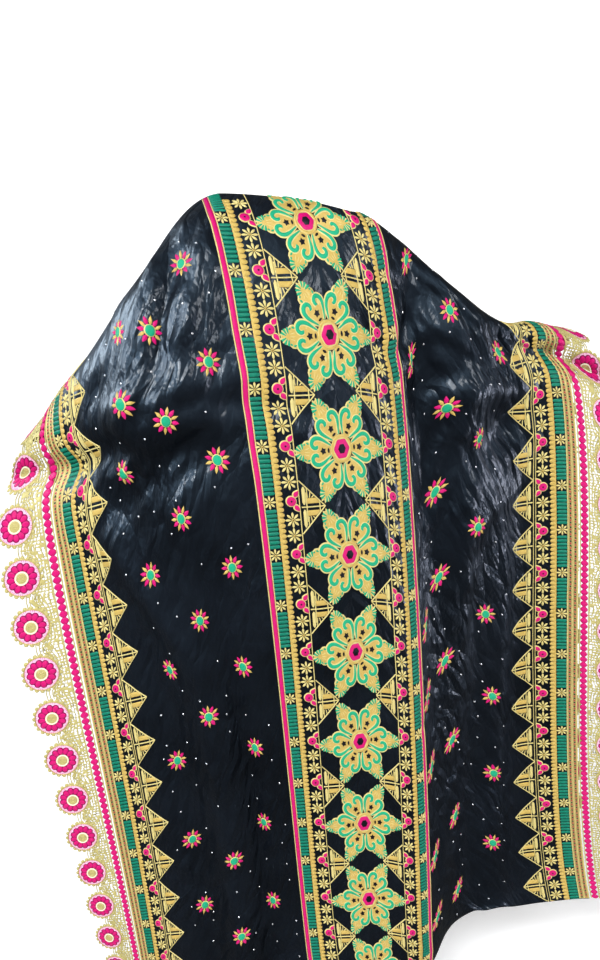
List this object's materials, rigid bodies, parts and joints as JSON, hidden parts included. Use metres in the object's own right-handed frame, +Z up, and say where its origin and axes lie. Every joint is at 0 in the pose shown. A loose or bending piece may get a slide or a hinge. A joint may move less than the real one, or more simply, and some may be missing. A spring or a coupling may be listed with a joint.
{
  "type": "grand boubou robe",
  "caption": "Wide grand boubou robe of waxed damask, open-sided with a boat neck, embroidered centre panel and scalloped lace side edges.",
  "frame": {"origin": "middle of the shoulder line, inside the neck opening, where the wearer's shoulders carry the robe", "axes": "+Z up, the front faces -Y, +X to the viewer's right"},
  "size_m": [1.2377, 0.5403, 1.5956],
  "materials": {
    "black_damask": "waxed, crisp and glossy black damask",
    "magenta_ribbon": "satin ribbon with gold corded edges",
    "gold_braid": "gold metallic thread braid with small red stitches",
    "magenta_cord": "satin-stitched scalloped cord",
    "gold_lace": "pale gold guipure lace with rosettes"
  },
  "bodies": {
    "root": {"cloth_front": "black_damask", "cloth_back": "black_damask", "braid_front_left": "gold_braid", "cord_front_left": "magenta_cord", "lace_front_left": "gold_lace", "braid_front_right": "gold_braid", "cord_front_right": "magenta_cord", "lace_front_right": "gold_lace", "braid_back_left": "gold_braid", "cord_back_left": "magenta_cord", "lace_back_left": "gold_lace", "braid_back_right": "gold_braid", "cord_back_right": "magenta_cord", "lace_back_right": "gold_lace", "ribbon_left": "magenta_ribbon", "ribbon_right": "magenta_ribbon"}
  },
  "joints": []
}
